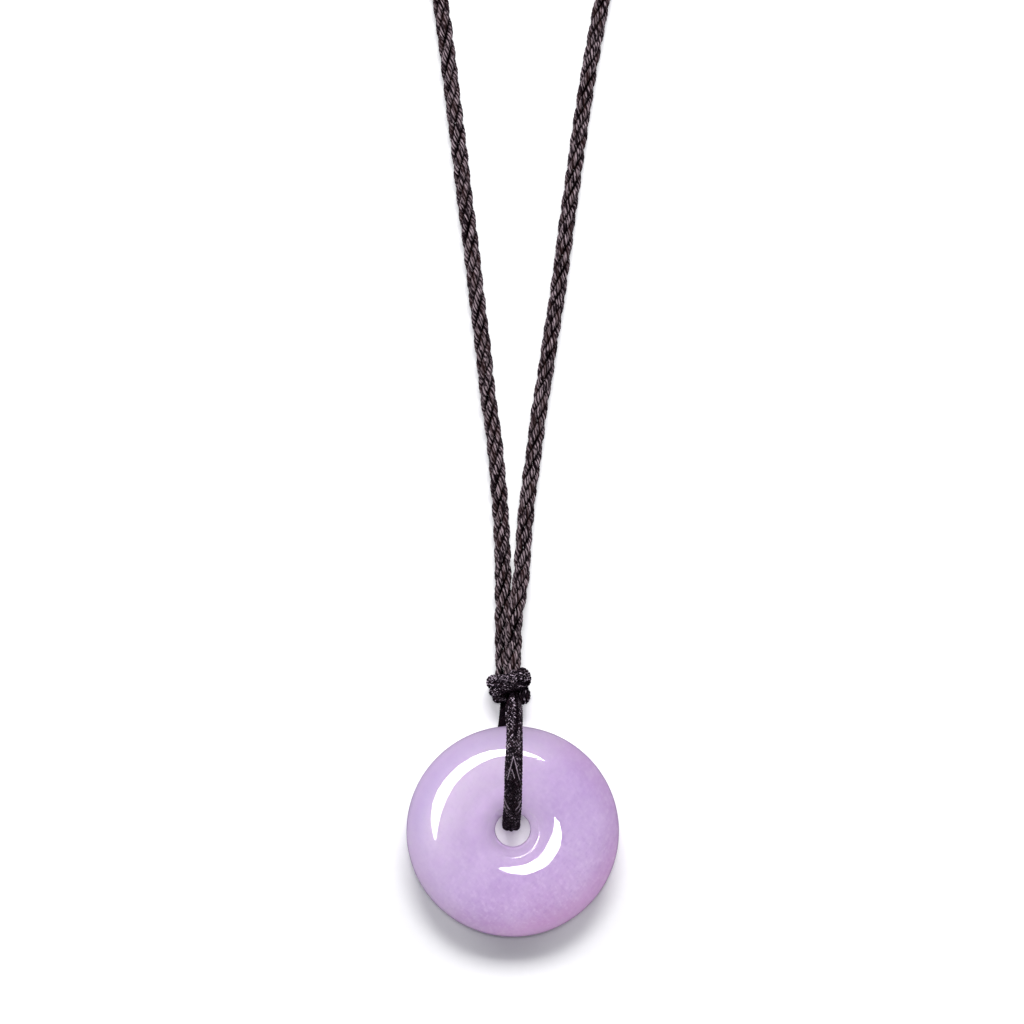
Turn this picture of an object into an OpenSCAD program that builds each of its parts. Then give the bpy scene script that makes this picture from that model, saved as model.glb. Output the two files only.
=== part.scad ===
// Jade disc pendant on a twisted neck cord, lying flat on its back.
// +X is to the right and +Y towards the neck as the front is seen; the surface it lies on is z = 0.

/* [Jade disc] */
// Outer diameter of the disc
disc_d = 30; // [26:1:40]
// Greatest thickness of the disc
disc_t = 7; // [6:0.5:9]
// Diameter of the ring where the disc is thickest
crest_d = 17.6; // [16:0.2:20]
// Rounding of the outer rim
rim_r = 1.7; // [1.2:0.1:2.2]
// Diameter of the hole
bore_d = 5; // [4.6:0.1:6]
// Height of the straight wall inside the hole
bore_wall = 1; // [0.6:0.1:1.6]
// Rounding where the face turns into the hole
bore_edge_r = 0.9; // [0.6:0.1:1.2]

/* [Bail cords] */
// Diameter of each of the two thin cords through the hole
bail_d = 1.25; // [1:0.05:1.5]
// Distance between the middles of the two thin cords over the disc
bail_pitch = 1.35; // [1.1:0.05:1.8]
// Distance from the middle of the disc to the middle of the cords inside the hole
bail_drop = 0.7; // [0.4:0.1:1]
// Length of the thin cords that shows between the disc and the knot
bail_show = 3; // [2.5:0.5:6]

/* [Knot] */
// Cord diameter of the knot's upper wrap
upper_wrap_d = 1.9; // [1.6:0.1:2.2]
// Cord diameter of the knot's middle wrap
middle_wrap_d = 1.75; // [1.5:0.05:2]
// Cord diameter of the knot's lower loops
lower_wrap_d = 1.8; // [1.5:0.05:2]
// Width of the upper wrap from side to side
upper_wrap_w = 6.4; // [5.6:0.1:7]
// Width of the middle wrap from side to side
middle_wrap_w = 5.7; // [5:0.1:6.4]
// Width of the lower loops from side to side
lower_wrap_w = 5.4; // [4.6:0.1:6]
// Thickness of the upper and middle wraps, front to back
knot_t = 4.9; // [4.6:0.1:5.6]
// Thickness of the lower loops, front to back
lower_wrap_t = 3.8; // [3.5:0.1:4.2]
// Angle by which the upper wrap rises to the right
upper_wrap_lean = 15; // [5:1:20]

/* [Neck cord] */
// Diameter of the twisted neck cord
rope_d = 2.1; // [1.8:0.05:2.2]

/* [Clearance] */
// Gap between a cord and what it lies on or enters
seat_gap = 0.15; // [0.1:0.05:0.25]

/* [Hidden] */
$fn = 64;

LEFT = 0;
RIGHT = 1;
TUBE_SIDES = 8;
NECK_SPACING = 12.5;
BAIL_SPACING = 4;

disc_r = disc_d / 2;
crest_r = crest_d / 2;
bore_r = bore_d / 2;
half_t = disc_t / 2;
edge_z = bore_wall / 2;

// Radius of the face arc that leaves the crest level and meets a rounding of
// radius edge_r, whose middle is run away from the crest and rise above mid-plane
function face_radius(run, rise, edge_r) =
    (run * run + pow(half_t - rise, 2) - edge_r * edge_r) / (2 * (half_t - rise - edge_r));

outer_run = disc_r - rim_r - crest_r;
inner_run = crest_r - bore_r - bore_edge_r;
outer_face_r = face_radius(outer_run, 0, rim_r);
inner_face_r = face_radius(inner_run, edge_z, bore_edge_r);

// Distance from mid-plane to the middle of each face arc
outer_drop = outer_face_r - half_t;
inner_drop = inner_face_r - half_t;

// Where each face arc ends, measured along the radius
outer_join = crest_r + outer_run * outer_face_r / (outer_face_r - rim_r);
inner_join = crest_r - inner_run * inner_face_r / (inner_face_r - bore_edge_r);

// The disc leans on the cords that run behind its upper half
tilt = asin((bail_d + seat_gap) / crest_d);
disc_z = outer_face_r - outer_drop * cos(tilt) + crest_r * sin(tilt);
bail_seat = bail_d / 2 + seat_gap;

// The knot, measured from the middle of the disc
knot_low_y = disc_r + bail_show;
middle_wrap_rise = 2.4;
upper_wrap_rise = 3.5;
knot_x = -0.55;
lower_wrap_x = -0.2;
lower_wrap_y = knot_low_y + lower_wrap_d / 2;
middle_wrap_y = knot_low_y + middle_wrap_rise;
upper_wrap_y = knot_low_y + upper_wrap_rise;
middle_wrap_lean = 9;
// Block inside the wraps, and how deep the holes for the cords go into the knot
core_w = 3.6;
core_t = 3;
rope_socket = 4;
bail_socket = 3;

// The origin is under the middle of the disc, its cords and the knot together
upper_wrap_reach = (upper_wrap_w - upper_wrap_d) / 2 * sin(upper_wrap_lean);
knot_top_y = upper_wrap_y + upper_wrap_reach + upper_wrap_d / 2;
disc_low_y = (disc_r - rim_r) * cos(tilt) + rim_r;
origin_y = (knot_top_y - disc_low_y) / 2;

// Route of the neck cord from the knot's upper left, round the neck and back to the
// knot's upper right: x, y above the knot's low edge, and lift off the surface in cord diameters
neck_points = [
    [-1.3, 4.3, 0.17],
    [-1.3, 7, 0.07],
    [-1.35, 10, 0.02],
    [-1.4, 14, 0],
    [-1.6, 21, 0],
    [-2, 29, 0],
    [-2.6, 37, 0],
    [-3.4, 43, 0],
    [-5, 57, 0],
    [-6.7, 71, 0],
    [-8.4, 85, 0],
    [-10.2, 99, 0],
    [-14, 122, 0],
    [-20.5, 150, 0],
    [-29, 182, 0],
    [-37, 213, 0],
    [-42, 240, 0],
    [-40, 264, 0],
    [-30, 284, 0],
    [-14, 296, 0],
    [3, 298.5, 0],
    [20, 295, 0],
    [34, 283, 0],
    [42.5, 263, 0],
    [43.5, 239, 0],
    [39, 212, 0],
    [32, 182, 0],
    [24.5, 150, 0],
    [18, 122, 0],
    [12.6, 99, 0],
    [10.1, 85, 0],
    [8.1, 71, 0],
    [6.2, 57, 0],
    [4, 43, 0],
    [3.2, 37, 0],
    [2.1, 29, 0],
    [1.5, 22, 0],
    [1.2, 18, 0.19],
    [0.65, 14.5, 0.62],
    [0.2, 11.5, 0.92],
    [0.1, 8, 1.03],
    [-0.2, 4.3, 1.07]
];
neck_route = [for (p = neck_points) [p[0], knot_low_y + p[1], rope_d * (p[2] + 0.5)]];

// Where the two thin cords leave the knot, left then right
bail_front_end = [
    [-0.3, knot_low_y + 1.8, lower_wrap_t + 0.4],
    [0.7, knot_low_y + 1.6, lower_wrap_t - 0.5]
];
bail_front_out = [
    [-0.4, knot_low_y - 0.7, lower_wrap_t + 1.8],
    [0.8, knot_low_y - 0.8, lower_wrap_t + 1.1]
];
bail_back_end = [[-1, knot_low_y + 0.9, 1.5], [0.5, knot_low_y + 0.9, 1.2]];
bail_back_out = [
    [-1.3, disc_r + 0.8, bail_d / 2 + 0.15],
    [0.15, disc_r + 0.8, bail_d / 2 + 0.1]
];
bail_back_rest = [[-1.7, disc_r - 2.5, bail_d / 2 + 0.05], [-0.25, disc_r - 2.5, bail_d / 2 + 0.05]];
// How far the pair of cords is off the middle, over the disc, in the hole and behind
bail_front_x = 0.15;
bail_hole_x = -0.15;
bail_back_x = -0.95;

// A point of the upright section of the disc, in its own plane, moved with the disc's lean
function leaned(x, r, h) =
    [x, r * cos(tilt) - h * sin(tilt), disc_z + r * sin(tilt) + h * cos(tilt)];

function outer_seat(angle) =
    [crest_r + (outer_face_r + bail_seat) * sin(angle),
     (outer_face_r + bail_seat) * cos(angle) - outer_drop];

function inner_seat(angle) =
    [crest_r - (inner_face_r + bail_seat) * sin(angle),
     (inner_face_r + bail_seat) * cos(angle) - inner_drop];

function leaned_seat(x, seat, face) = leaned(x, seat[0], face * seat[1]);

function bail_route(side) =
    let (
        half = (side == LEFT ? -1 : 1) * bail_pitch / 2,
        front = bail_front_x + half,
        hole = bail_hole_x + half,
        back = bail_back_x + half
    )
    [
        bail_front_end[side],
        bail_front_out[side],
        leaned_seat(front, outer_seat(38), 1),
        leaned_seat(front, outer_seat(22), 1),
        leaned_seat(front, outer_seat(6), 1),
        leaned_seat(front, inner_seat(11), 1),
        leaned_seat((front + hole) / 2, inner_seat(28), 1),
        leaned(hole, bail_drop + 0.8, 1.4),
        leaned(hole, bail_drop, -0.2),
        leaned(hole, bail_drop + 0.8, -1.85),
        leaned_seat((back + hole) / 2, inner_seat(27.5), -1),
        leaned_seat(back, inner_seat(14), -1),
        leaned_seat(back, inner_seat(tilt), -1),
        bail_back_rest[side],
        bail_back_out[side],
        bail_back_end[side]
    ];

// A smooth curve through the points of a route; t runs from 0 to the last point's number
function along(route, t) =
    let (
        last = len(route) - 1,
        i = min(floor(t), last - 1),
        u = t - i,
        a = route[max(i - 1, 0)],
        b = route[i],
        c = route[i + 1],
        d = route[min(i + 2, last)]
    )
    0.5 * (2 * b + (c - a) * u + (2 * a - 5 * b + 4 * c - d) * u * u
        + (3 * b - a - 3 * c + d) * u * u * u);

function unit(v) = v / norm(v);

// Corners of one ring of a tube, square to the way the tube runs
function ring(middle, way, across, radius) =
    let (
        side = unit(cross(way, across)),
        up = cross(side, way)
    )
    [for (k = [0:TUBE_SIDES - 1])
        middle + radius * (cos(k * 360 / TUBE_SIDES) * side + sin(k * 360 / TUBE_SIDES) * up)];

// Places along a route where a tube has its rings: each point, and more where the points lie far apart
function ring_places(route, spacing) =
    [for (i = [0:len(route) - 2])
        let (count = max(1, round(norm(route[i + 1] - route[i]) / spacing)))
        for (k = [0:count - 1]) i + k / count,
     len(route) - 1];

// A cord along a route; across is a direction that the cord never runs along
module cord(route, spacing, diameter, across) {
    middles = [for (place = ring_places(route, spacing)) along(route, place)];
    last = len(middles) - 1;
    ways = [for (j = [0:last]) unit(middles[min(j + 1, last)] - middles[max(j - 1, 0)])];
    corners = [for (j = [0:last]) each ring(middles[j], ways[j], across, diameter / 2)];
    walls = [for (j = [0:last - 1], k = [0:TUBE_SIDES - 1])
        let (
            here = j * TUBE_SIDES,
            next = (k + 1) % TUBE_SIDES
        )
        each [
            [here + k, here + TUBE_SIDES + k, here + TUBE_SIDES + next],
            [here + k, here + TUBE_SIDES + next, here + next]
        ]];
    first_end = [for (k = [0:TUBE_SIDES - 1]) k];
    last_end = [for (k = [TUBE_SIDES - 1:-1:0]) last * TUBE_SIDES + k];
    polyhedron(corners, concat(walls, [first_end, last_end]));
}

// A hole from where a cord ends, out along the way that it leaves
module socket(from, towards, diameter, length) {
    way = unit(towards - from);
    translate(from - seat_gap * way)
        rotate([0, acos(way[2]), atan2(way[1], way[0])])
            cylinder(d = diameter + 2 * seat_gap, h = length);
}

// One turn of cord round the upright axis of the knot: two bends and two straight stretches
module wrap(cord_d, width, depth) {
    bend_r = (depth - cord_d) / 2;
    straight = width - depth;
    for (turn = [0, 180])
        rotate([0, turn, 0])
            translate([straight / 2, 0, 0])
                rotate([90, 0, 0])
                    rotate([0, 0, -90])
                        rotate_extrude(angle = 180)
                            translate([bend_r, 0])
                                circle(d = cord_d);
    for (face = [-1, 1])
        translate([0, 0, face * bend_r])
            rotate([0, 90, 0])
                cylinder(d = cord_d, h = straight, center = true);
}

module placed() {
    translate([0, -origin_y, 0])
        children();
}

// Right half of the disc's section, cut through its axis
module disc_section() {
    intersection() {
        translate([crest_r, -outer_drop])
            circle(outer_face_r);
        translate([crest_r, outer_drop])
            circle(outer_face_r);
        translate([crest_r, -half_t])
            square([outer_join - crest_r, disc_t]);
    }
    translate([disc_r - rim_r, 0])
        circle(rim_r);
    intersection() {
        translate([crest_r, -inner_drop])
            circle(inner_face_r);
        translate([crest_r, inner_drop])
            circle(inner_face_r);
        translate([inner_join, -half_t])
            square([crest_r - inner_join, disc_t]);
    }
    for (face = [-1, 1])
        translate([bore_r + bore_edge_r, face * edge_z])
            circle(bore_edge_r);
    translate([bore_r, -edge_z])
        square([inner_join - bore_r, bore_wall]);
}

module jade_disc() {
    color([0.78, 0.7, 0.86])
        placed()
            translate([0, 0, disc_z])
                rotate([tilt, 0, 0])
                    rotate_extrude($fn = 128)
                        disc_section();
}

module bail(side) {
    color([0.2, 0.17, 0.2])
        placed()
            cord(bail_route(side), BAIL_SPACING, bail_d, [1, 0, 0]);
}

module bail_left() {
    bail(LEFT);
}

module bail_right() {
    bail(RIGHT);
}

module knot() {
    last = len(neck_route) - 1;
    color([0.25, 0.21, 0.24])
        placed()
            difference() {
                union() {
                    translate([knot_x, upper_wrap_y, knot_t / 2])
                        rotate([0, 0, upper_wrap_lean])
                            wrap(upper_wrap_d, upper_wrap_w, knot_t);
                    translate([knot_x, middle_wrap_y, knot_t / 2])
                        rotate([0, 0, middle_wrap_lean])
                            wrap(middle_wrap_d, middle_wrap_w, knot_t);
                    translate([lower_wrap_x, lower_wrap_y, lower_wrap_t / 2])
                        wrap(lower_wrap_d, lower_wrap_w, lower_wrap_t);
                    translate([knot_x, (upper_wrap_y + lower_wrap_y) / 2, lower_wrap_t / 2])
                        cube([core_w, upper_wrap_y - lower_wrap_y, core_t], center = true);
                }
                socket(neck_route[0], neck_route[1], rope_d, rope_socket);
                socket(neck_route[last], neck_route[last - 1], rope_d, rope_socket);
                for (side = [LEFT, RIGHT]) {
                    socket(bail_front_end[side], bail_front_out[side], bail_d, bail_socket);
                    socket(bail_back_end[side], bail_back_out[side], bail_d, bail_socket);
                }
            }
}

module neck_cord() {
    color([0.17, 0.14, 0.16])
        placed()
            cord(neck_route, NECK_SPACING, rope_d, [0, 0, 1]);
}

jade_disc();
bail_left();
bail_right();
knot();
neck_cord();
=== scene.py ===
"""A lavender jade disc on two thin cords, a tied knot and a twisted neck cord, lying on white."""

import math
import random

import bpy
import numpy as np
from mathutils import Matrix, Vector


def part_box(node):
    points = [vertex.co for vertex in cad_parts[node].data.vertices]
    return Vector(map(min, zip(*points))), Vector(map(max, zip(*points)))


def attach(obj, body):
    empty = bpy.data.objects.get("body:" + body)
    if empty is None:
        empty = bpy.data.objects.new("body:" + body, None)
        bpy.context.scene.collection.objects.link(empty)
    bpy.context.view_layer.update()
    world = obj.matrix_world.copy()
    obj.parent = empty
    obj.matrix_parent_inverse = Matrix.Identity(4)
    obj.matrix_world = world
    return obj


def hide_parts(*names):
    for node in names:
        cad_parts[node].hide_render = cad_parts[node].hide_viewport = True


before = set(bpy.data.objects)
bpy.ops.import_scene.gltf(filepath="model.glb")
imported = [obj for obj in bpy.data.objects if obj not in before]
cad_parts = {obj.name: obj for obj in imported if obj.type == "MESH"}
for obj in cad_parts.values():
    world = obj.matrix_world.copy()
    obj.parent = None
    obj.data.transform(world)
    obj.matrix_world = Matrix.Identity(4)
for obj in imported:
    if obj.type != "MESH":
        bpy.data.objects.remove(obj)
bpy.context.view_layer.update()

MM = 0.001
TURN = 2 * math.pi
UP = (0.0, 0.0, 1.0)
ACROSS = (1.0, 0.0, 0.0)
TOWARDS_NECK = (0.0, 1.0, 0.0)
LEFT, RIGHT = 0, 1

# The disc and the cords at their real sizes
CREST_R = 8.8 * MM
HALF_THICKNESS = 3.5 * MM
RIM_R = 1.7 * MM
BORE_R = 2.5 * MM
BORE_EDGE_R = 0.9 * MM
BORE_EDGE_Z = 0.5 * MM
BAIL_D = 1.25 * MM
BAIL_PITCH = 1.35 * MM
BAIL_DROP = 0.7 * MM
ROPE_D = 2.1 * MM
LOWER_LOOP_DEPTH = 3.8 * MM
SEAT_GAP = 0.15 * MM

# Where the frame has them
disc_low, disc_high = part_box("jade_disc")
disc_middle = (disc_low + disc_high) / 2
disc_r = (disc_high.x - disc_low.x) / 2
knot_low_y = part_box("knot")[0].y
lean = math.asin((BAIL_D + SEAT_GAP) / (2 * CREST_R))

# Camera straight above, as wide as the photograph
CAMERA_HEIGHT = 0.6
VIEW_WIDTH = 0.1447
VIEW_MIDDLE = (-0.0001, 0.04106)
SENSOR = 36.0
CAMERA_NEAREST = 0.01

# The neck cord's route: x, y above the knot's low edge, and lift off the surface in cord diameters
NECK_POINTS = [
    (-1.3, 4.3, 0.17), (-1.3, 7, 0.07), (-1.35, 10, 0.02), (-1.35, 14, 0), (-1.45, 21, 0),
    (-1.85, 29, 0), (-2.6, 37, 0), (-3.4, 43, 0), (-5, 57, 0), (-6.7, 71, 0), (-8.4, 85, 0),
    (-10.2, 99, 0), (-14, 122, 0), (-20.5, 150, 0), (-29, 182, 0), (-37, 213, 0),
    (-42, 240, 0), (-40, 264, 0), (-30, 284, 0), (-14, 296, 0), (3, 298.5, 0),
    (20, 295, 0), (34, 283, 0), (42.5, 263, 0), (43.5, 239, 0), (39, 212, 0), (32, 182, 0),
    (24.5, 150, 0), (18, 122, 0), (12.6, 99, 0), (10.1, 85, 0), (8.1, 71, 0), (6.2, 57, 0),
    (4, 43, 0), (3.2, 37, 0), (2.1, 29, 0), (1.5, 22, 0), (1.2, 18, 0.19), (0.65, 14.5, 0.62),
    (0.2, 11.5, 0.92), (0.1, 8, 1.03), (-0.2, 4.3, 1.07),
]
# Where its two ends are carried on to, inside the knot
NECK_ENDS = (-1.2, 3.2, 0.2), (-0.3, 3.2, 1.05)
# Half of the laid rope's thickness, in cord diameters
ROPE_HALF = 0.56
# Each leg is a piece of its own up to here, above the knot's low edge, past what the camera sees
LEG_END = 122 * MM

# The knot's cord, three turns from the upper wrap down to the lower loops: x, y above the
# knot's low edge, height over the surface, and the cord's diameter there
KNOT_POINTS = [
    (0.4, 3.3, 1.6, 1.8), (-0.6, 3.4, 1.0, 1.9), (-2.0, 3.05, 1.25, 2.05),
    (-2.7, 3.0, 2.4, 2.2), (-2.05, 3.05, 3.55, 2.05), (-0.7, 3.55, 3.95, 1.8),
    (0.55, 4.05, 3.85, 1.95), (1.35, 4.08, 3.3, 2.15), (1.58, 3.25, 2.3, 2.15),
    (1.1, 3.0, 1.15, 1.85), (-0.5, 2.4, 0.95, 1.8), (-1.75, 1.8, 1.15, 1.65),
    (-2.6, 1.65, 2.2, 1.6), (-1.9, 1.85, 3.4, 1.65), (-0.5, 2.3, 4.02, 1.6),
    (0.7, 2.5, 3.95, 1.5), (1.4, 2.35, 3.0, 1.5), (1.1, 2.1, 1.4, 1.6),
    (-0.3, 1.4, 0.9, 1.6), (-1.4, 0.9, 0.95, 1.6), (-2.15, 0.78, 1.8, 1.6),
    (-1.65, 0.85, 2.85, 1.55), (-0.7, 1.05, 2.3, 1.4), (0.1, 1.2, 1.6, 1.3),
]
# The loop at the knot's lower right, which runs upright from under the middle turn
LOW_LOOP_POINTS = [
    (0.7, 2.3, 1.3, 1.5), (1.25, 2.05, 2.2, 1.75), (1.5, 1.3, 2.7, 2.05), (1.5, 0.75, 2.2, 1.95),
    (1.2, 0.8, 1.2, 1.6), (0.5, 1.2, 0.9, 1.5),
]


def fresh():
    """Nothing selected, so that an operator acts only on what it adds."""
    if bpy.context.mode != "OBJECT":
        bpy.ops.object.mode_set(mode="OBJECT")
    bpy.ops.object.select_all(action="DESELECT")


def unit(v):
    return v / np.linalg.norm(v, axis=-1, keepdims=True)


# Camera

def add_camera():
    fresh()
    bpy.ops.object.camera_add(location=(*VIEW_MIDDLE, CAMERA_HEIGHT))
    camera = bpy.context.object
    camera.name = "camera"
    camera.data.sensor_width = SENSOR
    camera.data.lens = SENSOR * (CAMERA_HEIGHT - HALF_THICKNESS) / VIEW_WIDTH
    camera.data.clip_start = CAMERA_NEAREST
    bpy.context.scene.camera = camera


# Routes of the cords

# A route is first cut into this many parts between two of its points, and then evenly
ROUTE_PARTS = 40


def smooth_route(points, step):
    """A smooth curve through the points, as places a step apart, and how far along each one is."""
    points = np.array(points, float)
    fine = []
    for i in range(len(points) - 1):
        a, b = points[max(i - 1, 0)], points[i]
        c, d = points[i + 1], points[min(i + 2, len(points) - 1)]
        u = np.linspace(0, 1, ROUTE_PARTS, endpoint=False)[:, None]
        fine.append(0.5 * (2 * b + (c - a) * u + (2 * a - 5 * b + 4 * c - d) * u ** 2
                           + (3 * b - a - 3 * c + d) * u ** 3))
    fine = np.vstack([*fine, points[-1:]])
    gone = np.concatenate([[0], np.linalg.norm(np.diff(fine[:, :3], axis=0), axis=1).cumsum()])
    along = np.linspace(0, gone[-1], round(gone[-1] / step) + 1)
    return np.stack([np.interp(along, gone, column) for column in fine.T], 1), along


def square_to(way, hint):
    """Two directions square to the way a cord runs; with the way they make a right-handed set."""
    hint = np.broadcast_to(np.array(hint, float), way.shape)
    first = unit(hint - way * (hint * way).sum(1, keepdims=True))
    return first, np.cross(way, first)


def ways_along(places):
    return unit(np.gradient(places, axis=0))


def turned_round(first, second, angle):
    """The direction that far round from first towards second, at each place."""
    return np.cos(angle)[:, None] * first + np.sin(angle)[:, None] * second


def waver(along, draw, shortest, longest):
    """A wave along a cord: its length is drawn between these millimetres, and then its start."""
    return np.sin(along / (draw.uniform(shortest, longest) * MM) + draw.uniform(0, TURN))


def neck_route():
    """The route, its two ends carried on into the knot."""
    points = [NECK_ENDS[0], *NECK_POINTS, NECK_ENDS[1]]
    return [(x * MM, knot_low_y + y * MM, ROPE_D * (lift + ROPE_HALF)) for x, y, lift in points]


def face_radius(run, rise, edge_r):
    """Of the arc from the crest that meets an edge of that radius, so far off and so far up."""
    height = HALF_THICKNESS - rise
    return (run ** 2 + height ** 2 - edge_r ** 2) / (2 * (height - edge_r))


outer_run = disc_r - RIM_R - CREST_R
inner_run = CREST_R - BORE_R - BORE_EDGE_R
outer_face_r = face_radius(outer_run, 0, RIM_R)
inner_face_r = face_radius(inner_run, BORE_EDGE_Z, BORE_EDGE_R)
outer_drop = outer_face_r - HALF_THICKNESS
inner_drop = inner_face_r - HALF_THICKNESS


def leaned(x, r, h):
    """A point of the disc's upright section, in its own plane, where it lies."""
    return (x, disc_middle.y + r * math.cos(lean) - h * math.sin(lean),
            disc_middle.z + r * math.sin(lean) + h * math.cos(lean))


def outer_seat(x, degrees):
    """A cord's middle on the front outside the crest, so far round from straight up."""
    a = math.radians(degrees)
    reach = outer_face_r + BAIL_D / 2 + SEAT_GAP
    return leaned(x, CREST_R + reach * math.sin(a), reach * math.cos(a) - outer_drop)


def inner_seat(x, degrees, face=1):
    """The same inside the crest, on the front, or on the back where face is -1."""
    a = math.radians(degrees)
    reach = inner_face_r + BAIL_D / 2 + SEAT_GAP
    return leaned(x, CREST_R - reach * math.sin(a), face * (reach * math.cos(a) - inner_drop))


# The bail's two cords in millimetres. By the knot: x, y above its low edge, z over its low loops
BAIL_AT_KNOT = {
    LEFT: [(0.0, 2.6, -0.9), (-0.05, 1.5, 0.1), (-0.12, 0.3, 1.2), (-0.12, -0.7, 1.85)],
    RIGHT: [(0.4, 2.4, -1.4), (0.4, 1.4, -0.6), (0.68, 0.2, 0.2), (0.82, -0.8, 1.0)],
}
# Down the disc's front, where they sit, and then x and how far each rides up on the other
FRONT_SEATS = [(outer_seat, 38), (outer_seat, 22), (outer_seat, 6), (inner_seat, 11), (inner_seat, 28)]
FRONT_PAIR = {
    LEFT: [(-0.1, 0.55), (-0.24, 0.15), (-0.42, 0.05), (-0.5, 0.05), (-0.62, 0.05)],
    RIGHT: [(0.8, -0.1), (0.72, 0.35), (0.7, 0.1), (0.66, 0.05), (0.6, 0.05)],
}
# In the hole: how far past BAIL_DROP from the disc's middle, and height over its middle plane
BAIL_IN_HOLE = [(0.9, 1.4), (0.08, -0.2), (0.8, -1.85)]
# Under the rim: x, y past the rim, z over a cord that rests on the surface
BAIL_UNDER_RIM = {
    LEFT: [(-1.7, -2.5, 0.05), (-1.3, 0.8, 0.15)],
    RIGHT: [(-0.25, -2.5, 0.05), (0.15, 0.8, 0.1)],
}
# Back in the knot: x, y above its low edge, z over the surface
BAIL_END = {LEFT: (-1, 0.9, 1.5), RIGHT: (0.5, 0.9, 1.2)}
# The pair's middle across in the hole and behind the disc, and how close they lie in the hole
HOLE_X = -0.2 * MM
BACK_X = -0.95 * MM
HOLE_CLOSENESS = 0.86
# Where they sit on the disc's back, in degrees round from straight up
BACK_SEATS = (27.5, 14)


def bail_route(side):
    """From inside the knot, over the disc's face, through its hole and back behind it."""
    half = (-1 if side == LEFT else 1) * BAIL_PITCH / 2
    hole = HOLE_X + half * HOLE_CLOSENESS
    back = BACK_X + half
    rim_y = disc_middle.y + disc_r
    route = [(x * MM, knot_low_y + y * MM, LOWER_LOOP_DEPTH + z * MM) for x, y, z in BAIL_AT_KNOT[side]]
    for (seat, degrees), (across, up) in zip(FRONT_SEATS, FRONT_PAIR[side]):
        x, y, z = seat(across * MM, degrees)
        route.append((x, y, z + up * MM))
    route += [leaned(hole, BAIL_DROP + r * MM, h * MM) for r, h in BAIL_IN_HOLE]
    route += [
        inner_seat((back + hole) / 2, BACK_SEATS[0], -1),
        inner_seat(back, BACK_SEATS[1], -1),
        inner_seat(back, math.degrees(lean), -1),
    ]
    route += [(x * MM, rim_y + y * MM, BAIL_D / 2 + z * MM) for x, y, z in BAIL_UNDER_RIM[side]]
    x, y, z = BAIL_END[side]
    return [*route, (x * MM, knot_low_y + y * MM, z * MM)]


# Yarns swept into one mesh

class Yarns:
    """Round or flat yarns gathered into one mesh, with a map round and along each yarn."""

    def __init__(self):
        self.places, self.faces, self.uvs, self.shades, self.rises = [], [], [], [], []
        self.count = 0

    def add(self, middles, outward, wide, thick, sides, along, shade, rise):
        """wide runs round the cord and thick out of it.

        rise is how far out the yarn lies: -1 hidden, 1 on top, more for a slack thread; it is lowered
        where shade is painted, and the material paints low yarns in shade and high ones with a sheen.
        """
        way = ways_along(middles)
        out, side = square_to(way, outward)
        n = len(middles)
        angles = TURN * np.arange(sides) / sides
        wide = np.broadcast_to(np.asarray(wide, float), n)[:, None, None] / 2
        thick = np.broadcast_to(np.asarray(thick, float), n)[:, None, None] / 2
        ring = (middles[:, None] + thick * np.cos(angles)[None, :, None] * out[:, None]
                + wide * np.sin(angles)[None, :, None] * side[:, None])
        j, k = np.meshgrid(np.arange(n - 1), np.arange(sides), indexing="ij")
        turned = (k + 1) % sides
        quads = np.stack([j * sides + k, j * sides + turned, (j + 1) * sides + turned,
                          (j + 1) * sides + k], -1).reshape(-1, 4) + self.count
        round_it = np.stack([k, k + 1, k + 1, k], -1) / sides
        far = np.stack([along[j], along[j], along[j + 1], along[j + 1]], -1) / MM
        self.places.append(ring.reshape(-1, 3))
        self.faces += [tuple(q) for q in quads.tolist()]
        self.faces.append(tuple(self.count + k for k in reversed(range(sides))))
        self.faces.append(tuple(self.count + (n - 1) * sides + k for k in range(sides)))
        self.uvs.append(np.stack([round_it, far], -1).reshape(-1, 2))
        for end in (along[0], along[-1]):
            self.uvs.append(np.tile([0.0, end / MM], (sides, 1)))
        self.shades.append(np.full(n * sides, shade))
        self.rises.append(np.repeat(np.broadcast_to(np.asarray(rise, float), n), sides))
        self.count += n * sides

    def made(self, name, material):
        mesh = bpy.data.meshes.new(name)
        mesh.from_pydata(np.vstack(self.places).tolist(), [], self.faces)
        layer = mesh.uv_layers.new(name="yarn_map")
        layer.uv.foreach_set("vector", np.vstack(self.uvs).astype(np.float32).ravel())
        # The rise also carries where shade and sheen are painted on the yarns
        for kind, values in (("yarn_shade", self.shades), ("yarn_rise_and_shade", self.rises)):
            layer = mesh.attributes.new(kind, "FLOAT", "POINT")
            layer.data.foreach_set("value", np.concatenate(values).astype(np.float32))
        mesh.shade_smooth()
        mesh.materials.append(material)
        piece = bpy.data.objects.new(name, mesh)
        bpy.context.scene.collection.objects.link(piece)
        return piece


# The neck cord: four strands laid to the right, each of five yarns twisted to the left

STRANDS = 4
STRAND_YARNS = 5
ROPE_LAY = 12.0 * MM
STRAND_TWIST = 2.46 * MM
ROPE_STEP = 0.2 * MM
# Laid strands stand a little outside the plain round cord, and are looser near the knot
LAID_OUT = 1.13
STRAND_R = ROPE_D / 2 / (1 + math.sqrt(2)) * LAID_OUT
LOOSE_SHARE = 0.12
LOOSE_LENGTH = 22 * MM
# Yarns touch round a strand, pressed a little into one another
PRESSED_IN = 1.08
YARN_D = 2 * STRAND_R / (1 + 1 / math.sin(math.pi / STRAND_YARNS)) * PRESSED_IN
# Slow waves of a strand, round the rope and out of it: how large, how long, how far on the next is
LAY_WAVE = (0.12, 31 * MM, 1.7)
STRAND_WAVE = (0.04, 9 * MM, 2.1)
# The most that a yarn's twist is turned at its start, and the size and lengths in mm of its wave
TWIST_START = 0.25
YARN_WAVE = 0.07
YARN_WAVE_LENGTHS = (2, 5)
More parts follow.
